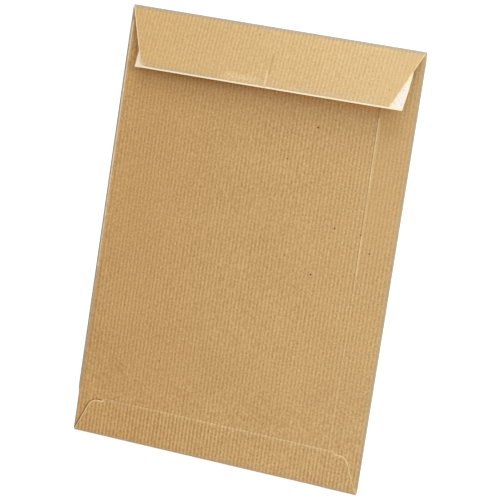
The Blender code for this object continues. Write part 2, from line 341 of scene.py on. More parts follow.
@dataclass(frozen=True)
class RibbedKraft(Finish):
    """Uncoated brown kraft paper with fine ribs, fibres and chips."""

    groove: Colour = (0.392, 0.219, 0.070)
    crest: Colour = (0.698, 0.462, 0.208)
    # Painted light: the back darker and more saturated on the left, lighter and paler on the right, as if
    # lit from the right.
    painted_left_shade: Colour = (0.985, 0.950, 0.888)
    painted_right_light: Colour = (1.050, 1.080, 1.130)
    # Painted light: the closing flap painted lighter and paler than the back, as if more strongly lit.
    painted_flap_light: Colour = (1.136, 1.214, 1.342)
    # Painted light: the back beside the flap's free edge, towards the seam, painted lighter, which lifts the
    # flap's shadow there.
    painted_mouth_light: Colour = (1.330, 1.340, 1.300)
    worn: Colour = (0.400, 0.390, 0.310)
    # The pale cut edge: partly the paper's own paleness, partly a painted highlight of the edge catching the
    # light.
    cut: Colour = (0.890, 0.695, 0.415)
    chip: Colour = (0.110, 0.055, 0.020)
    roughness: float = 0.72
    ribs: float = 0.36
    foot_ribs: float = 1.58
    flap_contrast: float = 0.62
    foot_contrast: float = 1.06
    seam_contrast: float = 0.62
    beads: float = 1.25
    fibres: float = 0.70
    clouds: float = 0.24
    fibre_relief: float = 0.35
    unevenness: float = 0.08
    half_width: float = 0.1145
    half_length: float = 0.162
    fold_wear: Pair = (0.0034, 0.0002)
    specks: tuple[Speck, ...] = (
        Speck(0.0428, 0.0960, 0.0010),
        Speck(0.0233, 0.0700, 0.0007),
        Speck(0.0668, 0.0265, 0.0008),
        Speck(0.0543, -0.0100, 0.0009),
        Speck(0.0956, 0.0130, 0.0008),
        Speck(0.0865, 0.0252, 0.0006),
        Speck(-0.0824, -0.1049, 0.0006),
        Speck(-0.0526, -0.0964, 0.0006),
        Speck(0.0425, -0.0208, 0.0006),
        Speck(-0.0117, 0.1550, 0.0006),
        Speck(0.0945, 0.1320, 0.0005),
    )
    slants: tuple[SlantLine, ...] = (
        SlantLine(-1.0, 0.1139, math.tan(math.radians(20.6)), 0.0009, 0.85),
        SlantLine(1.0, 0.1139, math.tan(math.radians(20.0)), 0.0008, 0.60),
    )
    strokes: tuple[Stroke, ...] = (
        # Painted shadow left of the seam strip's raised free edge.
        Stroke((0.0857, 0.1500), (0.0865, 0.0680), 0.00055, 0.27, PAINTED_SHADOW),
        Stroke((0.0865, 0.0680), (0.0872, -0.0150), 0.00050, 0.16, PAINTED_SHADOW, 0.6),
        # The seam strip's pale cut edge, partly a painted highlight.
        Stroke((0.0872, 0.1100), (0.0876, 0.0600), 0.00055, 0.70, PALE_EDGE_AND_HIGHLIGHT, 0.3),
        Stroke((0.0876, 0.0600), (0.0879, 0.0260), 0.00050, 0.25, PALE_EDGE_AND_HIGHLIGHT, 0.5),
        Stroke((0.0879, 0.0240), (0.0884, -0.0040), 0.00055, 0.60, PALE_EDGE_AND_HIGHLIGHT, 0.4),
        Stroke((0.0882, -0.0300), (0.0884, -0.0800), 0.00050, 0.28, PALE_EDGE_AND_HIGHLIGHT, 0.5),
        Stroke((0.0882, -0.0800), (0.0884, -0.1330), 0.00055, 0.50, PALE_EDGE_AND_HIGHLIGHT, 0.3),
        # Painted shadow in the gap at the left-hand fold.
        Stroke((-0.1142, 0.1400), (-0.1143, -0.1310), 0.00055, 0.62, PAINTED_SHADOW),
        # Painted highlight on the left-hand fold's rounded ridge.
        Stroke((-0.1128, 0.1500), (-0.1129, 0.0200), 0.00060, 0.80, FOLD_HIGHLIGHT, 0.30),
        Stroke((-0.1129, 0.0200), (-0.1129, -0.0350), 0.00055, 0.75, FOLD_HIGHLIGHT, 0.40),
        Stroke((-0.1129, -0.0350), (-0.1130, -0.1000), 0.00050, 0.30, FOLD_HIGHLIGHT, 0.60),
        # A broad band of painted shade inside the lower part of the left-hand fold.
        Stroke((-0.1108, -0.0300), (-0.1110, -0.1250), 0.00180, 0.13, PAINTED_SHADOW),
        # The bottom flap's pale cut edge at its left-hand corner, partly a painted highlight.
        Stroke((-0.1126, -0.1606), (-0.1085, -0.1514), 0.00045, 0.50, PALE_EDGE_AND_HIGHLIGHT),
        Stroke((-0.1085, -0.1514), (-0.1042, -0.1409), 0.00045, 0.55, PALE_EDGE_AND_HIGHLIGHT),
        Stroke((-0.1042, -0.1409), (-0.1028, -0.1387), 0.00045, 0.60, PALE_EDGE_AND_HIGHLIGHT),
        Stroke((-0.1028, -0.1387), (-0.0990, -0.1364), 0.00045, 0.60, PALE_EDGE_AND_HIGHLIGHT),
        Stroke((-0.0990, -0.1364), (-0.0925, -0.1363), 0.00045, 0.60, PALE_EDGE_AND_HIGHLIGHT),
        # Painted shadow outside the bottom flap's left-hand corner and side.
        Stroke((-0.1136, -0.1609), (-0.1094, -0.1509), 0.00070, 0.90, PAINTED_SHADOW),
        Stroke((-0.1094, -0.1509), (-0.1051, -0.1404), 0.00070, 0.90, PAINTED_SHADOW),
        Stroke((-0.1051, -0.1404), (-0.1034, -0.1379), 0.00060, 0.80, PAINTED_SHADOW),
        Stroke((-0.1034, -0.1379), (-0.1006, -0.1360), 0.00050, 0.60, PAINTED_SHADOW),
        Stroke((-0.1006, -0.1360), (-0.0966, -0.1353), 0.00050, 0.55, PAINTED_SHADOW),
        Stroke((-0.0966, -0.1353), (-0.0942, -0.1353), 0.00055, 0.80, PAINTED_SHADOW),
        # Painted shadow just beyond the bottom flap's straight edge.
        Stroke((-0.0910, -0.1332), (-0.0500, -0.1332), 0.00045, 0.30, PAINTED_SHADOW, 0.8),
        # The bottom flap's pale straight edge and right-hand corner, partly painted highlights, beaded with
        # brighter painted highlights on the rib crests.
        Stroke((-0.0900, -0.1339), (-0.0150, -0.1339), 0.00042, 0.32, PALE_EDGE_AND_HIGHLIGHT, 0.4, 0.7),
        Stroke((-0.0150, -0.1341), (0.0600, -0.1343), 0.00050, 0.62, PALE_EDGE_AND_HIGHLIGHT, 0.3, 0.9),
        Stroke((0.0600, -0.1343), (0.0915, -0.1345), 0.00045, 0.55, PALE_EDGE_AND_HIGHLIGHT, 0.3, 0.6),
        Stroke((0.0930, -0.1363), (0.0975, -0.1362), 0.00040, 0.55, PALE_EDGE_AND_HIGHLIGHT),
        Stroke((0.0975, -0.1362), (0.1005, -0.1369), 0.00042, 0.80, PALE_EDGE_AND_HIGHLIGHT),
        Stroke((0.1005, -0.1369), (0.1028, -0.1386), 0.00042, 0.80, PALE_EDGE_AND_HIGHLIGHT),
        Stroke((0.1028, -0.1386), (0.1043, -0.1409), 0.00040, 0.72, PALE_EDGE_AND_HIGHLIGHT),
        Stroke((0.1043, -0.1409), (0.1085, -0.1506), 0.00040, 0.65, PALE_EDGE_AND_HIGHLIGHT, 0.4),
        Stroke((0.1085, -0.1506), (0.1129, -0.1606), 0.00038, 0.50, PALE_EDGE_AND_HIGHLIGHT, 0.4),
    )
    marks: tuple[FlapMark, ...] = (
        FlapMark(-0.0985, -0.0350, 0.0410, 0.0450, 0.0018, 0.26, (0.420, 0.370, 0.280)),
        FlapMark(-0.1012, -0.0982, 0.0345, 0.0450, 0.0014, 0.30, (0.420, 0.370, 0.280)),
        FlapMark(-0.0350, 0.0900, 0.0396, 0.0450, 0.0018, 0.16, (0.560, 0.480, 0.350)),
        # A pale smear: a painted highlight where the adhesive strip's edge raises the flap's paper.
        FlapMark(-0.0300, -0.0050, 0.0380, 0.0430, 0.0040, 0.46, (0.850, 0.660, 0.375), 0.90),
        # The middle crease: a dark line of painted shade, and beside it a pale line, partly rubbed paper and
        # partly a painted highlight.
        FlapMark(0.0018, 0.0031, 0.0190, 0.0352, 0.0008, 0.60, (0.390, 0.230, 0.090), 0.3),
        FlapMark(0.0006, 0.0018, 0.0325, 0.0440, 0.0010, 0.46, (0.900, 0.740, 0.480), 0.5),
    )

    def paint(self, sheet: PaintSheet) -> None:
        """Lays the paper's colours, marks and relief on its material.

        Args:
            sheet: The paper's material.
        """
        beads = sheet.mottle(640.0, 1.0, 1.7, (1.0, 1.05, 1.0))
        sheet.colour = sheet.blend(self.tone(sheet, beads), self.groove, self.crest)
        self.tint(sheet)
        self.wear(sheet)
        self.mark_flap(sheet)
        self.draw_strokes(sheet)
        self.chip_back(sheet)
        fibre = sheet.mottle(2600.0, 3.0, 6.6, (1.0, 0.35, 1.0))
        ridge = sheet.product(beads, sheet.kept(Relief.CREST))
        sheet.emboss(sheet.maths("MULTIPLY_ADD", fibre, self.fibre_relief, ridge), 0.00025, 0.7)
        low, high = self.roughness - self.unevenness, self.roughness + self.unevenness
        rough = sheet.ramp(fibre, 0.3, 0.7, low, high)
        sheet.feed(sheet.shader, {"Roughness": rough, "Specular IOR Level": 0.35})

    def tone(self, sheet: PaintSheet, beads: Any) -> Any:
        """How far the colour lies between a groove's and a crest's.

        Args:
            sheet: The paper's material.
            beads: The socket of the short knots along the ribs.

        Returns:
            The socket of a value from 0 to 1.
        """
        cloud = sheet.mottle(28.0, 3.0, 3.1)
        fibre = sheet.mottle(1500.0, 2.0, 5.2, (1.0, 0.5, 1.0))
        patchy = sheet.ramp(sheet.mottle(13.0, 1.0, 2.6), 0.35, 0.65, 0.78 * self.ribs, 1.22 * self.ribs)
        at_foot = sheet.ramp(sheet.axes[1], -0.136, -0.132, self.foot_ribs, 1.0)
        ribs = (sheet.kept(Relief.CREST), sheet.product(patchy, at_foot))
        tone: Any = 0.0
        for noise, strength in (ribs, (beads, self.beads), (fibre, self.fibres), (cloud, self.clouds)):
            tone = sheet.maths("MULTIPLY_ADD", sheet.maths("SUBTRACT", noise, 0.5), strength, tone)
        on_seam = sheet.product(
            sheet.ramp(sheet.axes[0], 0.0850, 0.0885), sheet.ramp(sheet.axes[1], -0.040, 0.060)
        )
        contrast = sheet.product(
            sheet.ramp(sheet.kept(Relief.DEPTH), 0.0, 0.004, 1.0, self.flap_contrast),
            sheet.ramp(sheet.axes[1], -0.135, -0.060, self.foot_contrast, 1.0),
            sheet.ramp(on_seam, 0.0, 1.0, 1.0, self.seam_contrast),
        )
        return sheet.maths("MULTIPLY_ADD", tone, contrast, 0.5, clamp=True)

    def tint(self, sheet: PaintSheet) -> None:
        """Painted light on the paper: the back painted darker on the left and lighter on the right, as if
        lit from the right, the closing flap painted lighter, and the back beside the flap's free edge
        painted lighter where the flap's shadow falls.

        Args:
            sheet: The paper's material.
        """
        across, along = sheet.axes[0], sheet.axes[1]
        # Painted light from the right across the whole sheet.
        to_right = sheet.ramp(across, -self.half_width, self.half_width)
        sheet.tint(1.0, sheet.blend(to_right, self.painted_left_shade, self.painted_right_light))
        flap = sheet.ramp(sheet.kept(Relief.DEPTH), 0.0, 0.003)
        # Painted light that lifts the flap's shadow on the back beside its free edge, towards the seam.
        beside = sheet.product(
            sheet.maths("SUBTRACT", sheet.upper, flap, clamp=True),
            sheet.ramp(along, 0.1095, 0.1180),
            sheet.ramp(along, 0.1330, 0.1230),
            sheet.ramp(across, -0.0750, 0.0800),
            sheet.ramp(across, 0.1020, 0.0860),
        )
        sheet.tint(beside, self.painted_mouth_light)
        # Painted light on the closing flap.
        sheet.tint(flap, self.painted_flap_light)

    def wear(self, sheet: PaintSheet) -> None:
        """The greyer fold lines, and the paler cut edges, which are partly the cut paper's own paleness and
        partly a painted highlight.

        Args:
            sheet: The paper's material.
        """
        fold: Any = 0.0
        for axis, half in ((sheet.axes[0], self.half_width), (sheet.axes[1], self.half_length)):
            start, end = half - self.fold_wear[0], half - self.fold_wear[1]
            near = sheet.ramp(sheet.maths("ABSOLUTE", axis), start, end)
            fold = sheet.maths("MAXIMUM", near, fold)
        patchy = sheet.ramp(sheet.mottle(240.0, 2.0, 8.4), 0.30, 0.70, 0.40, 0.70)
        sheet.cover(sheet.product(fold, patchy), self.worn)
        # Pale cut edges: partly the paper's own paleness, partly a painted highlight.
        fringe = sheet.ramp(sheet.kept(Relief.CUT_EDGE), 0.20, 0.95, 0.0, 0.85)
        frayed = sheet.ramp(sheet.mottle(420.0, 2.0, 6.1), 0.35, 0.60, 0.45, 1.0)
        sheet.cover(sheet.product(fringe, frayed), self.cut)

    def mark_flap(self, sheet: PaintSheet) -> None:
        """The marks on the closing flap: greyer bands along its free edge, a pale smear of painted highlight
        and a crease drawn with painted shade and a pale line; and the pale lines along its slanting sides,
        partly painted highlights.

        Args:
            sheet: The paper's material.
        """
        across, depth = sheet.axes[0], sheet.kept(Relief.DEPTH)
        grain = sheet.ramp(sheet.mottle(700.0, 2.0, 9.3), 0.42, 0.60)
        for mark in self.marks:
            blur = mark.blur / 2
            amount: Any = mark.strength
            for value, low, high in ((across, mark.left, mark.right), (depth, mark.near, mark.far)):
                rise = sheet.ramp(value, low - blur, low + blur)
                amount = sheet.product(rise, sheet.ramp(value, high + blur, high - blur), amount)
            kept = sheet.maths("MULTIPLY_ADD", grain, mark.broken, 1.0 - mark.broken)
            sheet.cover(sheet.product(kept, amount), mark.colour)
        # Pale lines along the flap's slanting sides: the cut edges, partly a painted highlight.
        on_flap = sheet.ramp(depth, 0.0, 0.0005)
        for slant in self.slants:
            reach = sheet.maths("MULTIPLY_ADD", depth, -slant.slope, slant.base)
            inset = sheet.maths("MULTIPLY_ADD", across, -slant.side, reach)
            line = sheet.ramp(inset, 0.5 * slant.width, slant.width, slant.strength, 0.0)
            sheet.cover(sheet.product(line, on_flap), self.cut)

    def draw_strokes(self, sheet: PaintSheet) -> None:
        """The thin lines along the seam, the left-hand fold and the bottom flap: dark lines of painted
        shadow, and pale lines that are painted highlights, on cut edges partly the paper's own paleness.

        Args:
            sheet: The paper's material.
        """
        grain = sheet.ramp(sheet.mottle(260.0, 2.0, 4.4), 0.42, 0.58)
        pocket = sheet.product(sheet.upper, sheet.ramp(sheet.kept(Relief.DEPTH), 0.0001, 0.0))
        bead = sheet.ramp(sheet.kept(Relief.CREST), 0.25, 0.90)
        for stroke in self.strokes:
            away = self.from_line(sheet, stroke)
            inside = sheet.ramp(away, 1.3 * stroke.half_width, 0.4 * stroke.half_width)
            kept = sheet.maths("MULTIPLY_ADD", grain, stroke.broken, 1.0 - stroke.broken)
            if stroke.beaded:
                kept = sheet.product(kept, sheet.ramp(bead, 0.0, 1.0, 1.0 - stroke.beaded, 1.0))
            sheet.cover(sheet.product(inside, kept, stroke.strength, pocket), stroke.colour)

    def from_line(self, sheet: PaintSheet, stroke: Stroke) -> Any:
        """How far each point lies from a stroke's line, seen from above.

        Args:
            sheet: The paper's material.
            stroke: The stroke.

        Returns:
            The distance's socket.
        """
        start = Vector((*stroke.start, 0.0))
        run = Vector((*stroke.end, 0.0)) - start
        offset = sheet.vectors("SUBTRACT", sheet.flat, start)[0]
        along = sheet.vectors("DOT_PRODUCT", offset, run / run.length_squared)[1]
        share = sheet.maths("MULTIPLY", along, 1.0, clamp=True)
        nearest = sheet.add("ShaderNodeVectorMath", {0: run, 3: share}, operation="SCALE").outputs[0]
        return sheet.vectors("DISTANCE", offset, nearest)[1]

    def chip_back(self, sheet: PaintSheet) -> None:
        """The few dark chips on the envelope's back.

        Args:
            sheet: The paper's material.
        """
        amount: Any = 0.0
        for speck in self.specks:
            away = sheet.vectors("DISTANCE", sheet.flat, (speck.x, speck.y, 0.0))[1]
            amount = sheet.maths("MAXIMUM", sheet.ramp(away, speck.radius, 0.50 * speck.radius), amount)
        sheet.cover(sheet.product(amount, sheet.upper), self.chip)


@dataclass(frozen=True)
class SiliconePaper(Finish):
    """Smooth white release paper with a fine grey grain, and a few creases drawn as lines of painted shade.
    """

    white: Colour = (0.812, 0.775, 0.695)
    grain: Colour = (0.575, 0.560, 0.545)
    cream: Colour = (0.930, 0.755, 0.510)
    crease_centre: Pair = (-0.0910, 0.1265)
    crease_pitch: float = 0.0016
    hem_start: float = 0.0420
    right_hem: float = 0.1063
    left_hem: float = -0.0960

    def paint(self, sheet: PaintSheet) -> None:
        """Lays the liner's white, its grain, its cream hems and its creases on the material.

        Args:
            sheet: The liner's material.
        """
        grain = sheet.ramp(sheet.mottle(800.0, 2.0, 2.2), 0.48, 0.68, 0.0, 0.75)
        sheet.colour = sheet.blend(grain, self.white, self.grain)
        sheet.cover(sheet.ramp(sheet.mottle(90.0, 2.0, 7.9), 0.35, 0.65, 0.0, 0.35), self.cream)
        sheet.cover(sheet.ramp(sheet.kept(Relief.CUT_EDGE), 0.0, 0.8, 0.0, 0.8), self.cream)
        hem = sheet.ramp(sheet.kept(Relief.DEPTH), self.hem_start, self.hem_start + 0.0016, 0.0, 0.85)
        right = sheet.ramp(sheet.axes[0], self.right_hem, self.right_hem + 0.0014, 0.0, 0.85)
        left = sheet.ramp(sheet.axes[0], self.left_hem, self.left_hem - 0.0014, 0.0, 0.70)
        sheet.cover(sheet.maths("MAXIMUM", hem, sheet.maths("MAXIMUM", right, left)), self.cream)
        crease = self.creases(sheet)
        # Painted shade along the creases, with their bump.
        sheet.cover(sheet.product(crease, 0.70), self.grain)
        sheet.emboss(crease, 0.0002, 0.5)
        sheet.feed(sheet.shader, {"Roughness": 0.42, "Specular IOR Level": 0.45})

    def creases(self, sheet: PaintSheet) -> Any:
        """Three curved lines of painted shade across the liner's curled corner.

        Args:
            sheet: The liner's material.

        Returns:
            The socket of their strength.
        """
        away = sheet.vectors("DISTANCE", sheet.flat, (*self.crease_centre, 0.0))[1]
        waves = sheet.maths("SINE", sheet.product(away, math.tau / self.crease_pitch))
        return sheet.product(
            sheet.ramp(waves, 0.3, 1.0),
            sheet.ramp(away, 0.0065, 0.0080),
            sheet.ramp(away, 0.0125, 0.0110),
            sheet.ramp(sheet.axes[0], -0.0935, -0.0965),
        )


@dataclass(frozen=True)
class ContactAdhesive(Finish):
    """A pale, slightly clouded film of hot-melt adhesive."""

    clear: Colour = (0.800, 0.700, 0.470)
    cloudy: Colour = (0.880, 0.840, 0.700)

    def paint(self, sheet: PaintSheet) -> None:
        """Lays the film's clouds and its streaked surface on the material.

        Args:
            sheet: The film's material.
        """
        streaks = sheet.mottle(900.0, 3.0, 4.4, (0.15, 1.0, 1.0))
        sheet.colour = sheet.blend(sheet.ramp(streaks, 0.35, 0.65), self.clear, self.cloudy)
        sheet.emboss(streaks, 0.0001, 0.3)
        sheet.feed(sheet.shader, {"Roughness": 0.28})


@dataclass(frozen=True)
class StudioWhite(Finish):
    """A matt white floor that shows as plain white to the camera and still takes a shadow."""

    grey: float = 0.86
    lift: float = 0.40

    def paint(self, sheet: PaintSheet) -> None:
        """Lays the floor's grey on the material, and the light that it gives back to the camera.

        Args:
            sheet: The floor's material.
        """
        cloud = sheet.ramp(sheet.mottle(0.8, 1.0, 1.1), 0.3, 0.7, self.grey - 0.004, self.grey)
        sheet.colour = sheet.add("ShaderNodeCombineColor", {0: cloud, 1: cloud, 2: cloud}).outputs[0]
        ray = sheet.add("ShaderNodeLightPath").outputs
        seen = sheet.maths("MAXIMUM", ray["Is Camera Ray"], ray["Is Glossy Ray"])
        seen = sheet.maths("MAXIMUM", seen, ray["Is Transmission Ray"])
        glow = {"Emission Color": (1.0, 1.0, 1.0, 1.0), "Emission Strength": sheet.product(seen, self.lift)}
        sheet.feed(sheet.shader, {"Roughness": 0.9, "Specular IOR Level": 0.0, **glow})


@dataclass
class RibRelief:
    """The geometry tree that raises the paper's ribs and keeps each point's height on its rib."""

    pitch: float = 0.0029
    height: float = 0.00009
    unevenness: float = 0.5
    seed: float = 2.5

    def build(self) -> bpy.types.NodeTree:
        """Makes the tree.

        Returns:
            A geometry tree with the inputs Pitch, Height, Unevenness, Seed and Paper.
        """
        tree = bpy.data.node_groups.new("rib_relief", "GeometryNodeTree")
        ports = tree.interface
        numbers = dict.fromkeys(("Pitch", "Height", "Unevenness", "Seed"), "Float")
        for name, kind in {"Sheet": "Geometry", **numbers, "Paper": "Material"}.items():
            ports.new_socket(name, in_out="INPUT", socket_type=f"NodeSocket{kind}")
        ports.new_socket("Ribbed sheet", in_out="OUTPUT", socket_type="NodeSocketGeometry")
        sheet = NodeSheet(tree)
        given = sheet.add("NodeGroupInput").outputs
        place = sheet.add("GeometryNodeInputPosition").outputs[0]
        across = sheet.add("ShaderNodeSeparateXYZ", {0: place}).outputs[0]
        turn = sheet.maths("MULTIPLY", sheet.maths("DIVIDE", across, given["Pitch"]), math.tau)
        wave = sheet.maths("MULTIPLY_ADD", sheet.maths("COSINE", turn), -0.5, 0.5)
        share = sheet.add(
            "GeometryNodeInputNamedAttribute", {"Name": Relief.RIB.value}, data_type="FLOAT"
        ).outputs["Attribute"]
        crest = sheet.maths("MULTIPLY", wave, share)
        lumps = sheet.noise(place, 160.0, 2.0, given["Seed"])
        uneven = sheet.maths("MULTIPLY_ADD", sheet.maths("SUBTRACT", lumps, 0.5), given["Unevenness"], 1.0)
        rise = sheet.maths("MULTIPLY", sheet.maths("MULTIPLY", crest, given["Height"]), uneven)
        offset = sheet.add("ShaderNodeCombineXYZ", {2: rise}).outputs[0]
        keep = sheet.add(
            "GeometryNodeStoreNamedAttribute",
            {"Geometry": given["Sheet"], "Name": Relief.CREST.value, "Value": crest},
            data_type="FLOAT",
            domain="POINT",
        )
        raised = sheet.add("GeometryNodeSetPosition", {"Geometry": keep.outputs[0], "Offset": offset})
        real = sheet.add("GeometryNodeRealizeInstances", {"Geometry": raised.outputs[0]})
        given_paper = {"Geometry": real.outputs[0], "Material": given["Paper"]}
        dressed = sheet.add("GeometryNodeSetMaterial", given_paper)
        sheet.add("NodeGroupOutput", {0: dressed.outputs[0]})
        return tree

    def attach(self, piece: bpy.types.Object, tree: bpy.types.NodeTree, paper: bpy.types.Material) -> None:
        """Puts the tree on a piece, with this relief's sizes.

        Args:
            piece: The sheet that gets ribs.
            tree: The tree that build returned.
            paper: The material of the ribbed sheet.
        """
        modifier = piece.modifiers.new("ribs", "NODES")
        modifier.node_group = tree
        values = {
            "Pitch": self.pitch,
            "Height": self.height,
            "Unevenness": self.unevenness,
            "Seed": self.seed,
            "Paper": paper,
        }
        for socket in tree.interface.items_tree:
            if socket.name in values:
                modifier[socket.identifier] = values[socket.name]


def quad(left: float, right: Pair, ends: Pair) -> list[Pair]:
    """A panel's outline: its upright side, the two ends of its other side, and its foot and top."""
    return [(left, ends[0]), (right[0], ends[0]), (right[1], ends[1]), (left, ends[1])]


def link_piece(name: str, data: Any) -> bpy.types.Object:
    """Puts an object in the scene.

    Args:
        name: The object's name.
        data: Its mesh, lamp or camera.

    Returns:
        The object.
    """
    piece = bpy.data.objects.new(name, data)
    bpy.context.scene.collection.objects.link(piece)
    return piece


def cut_sheet(
    outline: list[Pair], along: list[float], across: list[float], fringe: float
) -> bmesh.types.BMesh:
    """A flat sheet, finely divided, with a narrow fringe inside its outline.

    Args:
        outline: The sheet's outline.
        along: The places of the lines that run along Y.
        across: The places of the lines that run along X.
        fringe: The fringe's width.

    Returns:
        The sheet's flat mesh.
    """
    bm = bmesh.new()
    bm.faces.new([bm.verts.new((u, v, 0.0)) for u, v in outline])
    bmesh.ops.inset_region(bm, faces=bm.faces[:], thickness=fringe, use_even_offset=True)
    for places, normal in ((along, Vector((1.0, 0.0, 0.0))), (across, Vector((0.0, 1.0, 0.0)))):
        for place in places:
            geometry = bm.verts[:] + bm.edges[:] + bm.faces[:]
            bmesh.ops.bisect_plane(bm, geom=geometry, plane_co=normal * place, plane_no=normal, dist=1e-7)
    return bm


def finish_sheet(bm: bmesh.types.BMesh, name: str) -> bpy.types.Mesh:
    """Turns a sheet under construction into a mesh.

    Args:
        bm: The sheet, which is used up.
        name: The mesh's name.

    Returns:
        The mesh.
    """
    mesh = bpy.data.meshes.new(name)
    bm.to_mesh(mesh)
    bm.free()
    return mesh


def thicken(piece: bpy.types.Object, thickness: float, even: bool) -> None:
    """Gives a sheet its thickness and turns its modifiers into its mesh.

    Args:
        piece: The sheet's object, which loses its modifiers.
        thickness: The sheet's thickness, half of it to each side.
        even: Whether the thickness is kept where the sheet bends.
    """
    solid = piece.modifiers.new("thickness", "SOLIDIFY")
    solid.thickness = thickness
    solid.offset = 0.0
    solid.use_even_offset = even
    bpy.context.view_layer.update()
    graph = bpy.context.evaluated_depsgraph_get()
    done = bpy.data.meshes.new_from_object(piece.evaluated_get(graph), depsgraph=graph)
    done.name = piece.name
    piece.modifiers.clear()
    piece.data = done
    done.shade_smooth()
    done.set_sharp_from_angle(angle=SHARP_ANGLE)


@dataclass
class FoldedPaper:
    """The kraft sheet, folded and gummed into the pocket, with its bottom flap and closing flap."""

    width: float = 0.229
    length: float = 0.324
    paper: float = 0.00014
    pocket_gap: float = 0.0005
    pocket_swell: float = 0.0012
    swell_ramp: float = 0.070
    swell_flatness: float = 3.0
    mouth_setback: float = 0.0015
    panel_setback: float = 0.0012
    pinch: float = 0.0008
    pinch_height: float = 0.0345
    pinch_reach: float = 0.012
    seam_top: float = 0.0284
    seam_foot: float = 0.0255
    seam_ramp: float = 0.004
    seam_lift: float = 0.0003
    seam_lift_reach: float = 0.0018
    seam_lift_least: float = 0.25
    seam_lift_start: float = -0.02
    seam_lift_run: float = 0.06
    seam_hold: float = 0.02
    seam_reach: float = 0.035
    gum_gap: float = 0.0001
    bottom_depth: float = 0.0282
    bottom_taper: float = math.radians(24.0)
    bottom_corner: float = 0.0080
    bottom_shoulder: float = 0.0205
    bottom_step: float = 0.0020
    corner_lift: float = 0.0004
    corner_reach: float = 0.014
    corner_start: float = 0.010
    flap_depth: float = 0.0440
    flap_taper_left: float = math.radians(20.6)
    flap_taper_right: float = math.radians(20.0)
    flap_corner_left: float = 0.0070
    flap_corner_right: float = 0.0015
    flap_lift_left: float = math.radians(13.5)
    flap_lift_right: float = math.radians(21.5)
    corner_notch: float = 0.0006
    crease_x: float = 0.001
    crease_rise: float = 0.00025
    crease_wander: float = 0.0015
    crease_ridge: float = 0.0016
    crease_valley: float = 0.0020
    crease_gap: float = 0.0026
    crease_start: float = 0.012
    fringe: float = 0.0004
    fold_steps: int = 7
    foot_rows: int = 5
    pinch_rows: int = 3
    pocket_rows: int = 24
    closing_rows: int = 10
    bottom_rows: int = 6
    corner_steps: int = 10
    columns_per_rib: int = 6
    ribs: RibRelief = field(default_factory=RibRelief)

    def __post_init__(self) -> None:
        """Works out the fold lines from the sizes."""
        self.layer = self.paper + self.gum_gap
        self.front_z = self.paper / 2
        self.back_z = self.front_z + self.paper + self.pocket_gap
        seam_z = self.back_z + self.layer
        mouth_z = seam_z + self.layer
        self.left_radius = (self.back_z - self.front_z) / 2
        self.right_radius = (seam_z - self.front_z) / 2
        self.bottom_radius = (seam_z - self.front_z) / 2
        self.mouth_radius = (mouth_z - self.front_z) / 2
        self.left_line = -(self.width / 2 - self.paper / 2 - self.left_radius)
        self.right_line = self.width / 2 - self.paper / 2 - self.right_radius
        self.bottom_line = -(self.length / 2 - self.paper / 2 - self.bottom_radius - self.layer / 2)
        self.mouth_line = self.length / 2 - self.paper / 2 - self.mouth_radius
        self.left_arc = math.pi * self.left_radius
        self.right_arc = math.pi * self.right_radius
        self.bottom_arc = math.pi * self.bottom_radius
        self.mouth_arc = math.pi * self.mouth_radius
        self.back_foot = -self.length / 2 + self.panel_setback
        self.back_top = self.length / 2 - self.mouth_setback
        self.back_right = self.width / 2 - self.panel_setback
        self.bottom_edge = -self.length / 2 + self.bottom_depth
        self.flap_base = self.width / 2 - self.corner_notch
        self.half_ribs = 2 * int((self.width / 2 - self.panel_setback) / self.ribs.pitch)

    def seam_width(self, y: float) -> float:
        """The width of the side seam strip at y."""
        return self.seam_foot + (self.seam_top - self.seam_foot) * (y + self.length / 2) / self.length

    def back_height(self, x: float, y: float) -> float:
        """The back panel's height, with the slight swell of an empty pocket."""
        across = 1.0 - min(1.0, abs(2.0 * x / self.width)) ** self.swell_flatness
        from_foot = ease((y - self.bottom_edge) / self.swell_ramp)
        from_mouth = ease((self.back_top - y) / self.swell_ramp)
        return self.back_z + self.pocket_swell * across * from_foot * from_mouth

    def seam_height(self, x: float, y: float) -> float:
        """The side seam strip's height: its free edge stands up a little towards the mouth."""
        edge = self.width / 2 - self.seam_width(y)
        free = ease(1.0 - (x - edge) / self.seam_lift_reach)
        least = self.seam_lift_least
        share = least + (1.0 - least) * ease((y - self.seam_lift_start) / self.seam_lift_run)
        held = ease((y - self.bottom_edge) / self.seam_hold)
        return self.back_height(x, y) + self.layer + self.seam_lift * free * share * held

    def bottom_flap_height(self, x: float, y: float) -> float:
        """The bottom flap's height: it climbs over the seam strip and its two corners stand off a little."""
        seam_edge = self.width / 2 - self.seam_width(self.bottom_edge)
        over_seam = ease((x - seam_edge + self.seam_ramp) / self.seam_ramp)
        slant = (self.width / 2 - abs(x)) / math.tan(self.bottom_taper)
        rise = y + self.length / 2
        corner = ease(1.0 - (slant - rise) / self.corner_reach) * ease(rise / self.corner_start)
        share = 1.0 if x < 0.0 else 0.5
        return self.back_height(x, y) + self.layer * (1.0 + over_seam) + self.corner_lift * corner * share

    def pinched(self, x: float, y: float) -> float:
        """x at the height y, drawn in near the left-hand fold's lower end."""
        held = 1.0 - ease((y - self.bottom_edge) / (self.pinch_height - self.bottom_depth))
        near_fold = 1.0 - ease((x + self.width / 2) / self.pinch_reach)
        return x + self.pinch * held * near_fold

    def flap_lift(self, x: float) -> float:
        """The angle between the closing flap and the pocket at x."""
        return self.flap_lift_left + (self.flap_lift_right - self.flap_lift_left) * (x / self.width + 0.5)

    def arc(self, radius: float, turn: float) -> Pair:
        """How far out and how high the paper lies after a turn round a fold, from the front panel."""
        return radius * math.sin(turn), self.front_z + radius * (1.0 - math.cos(turn))

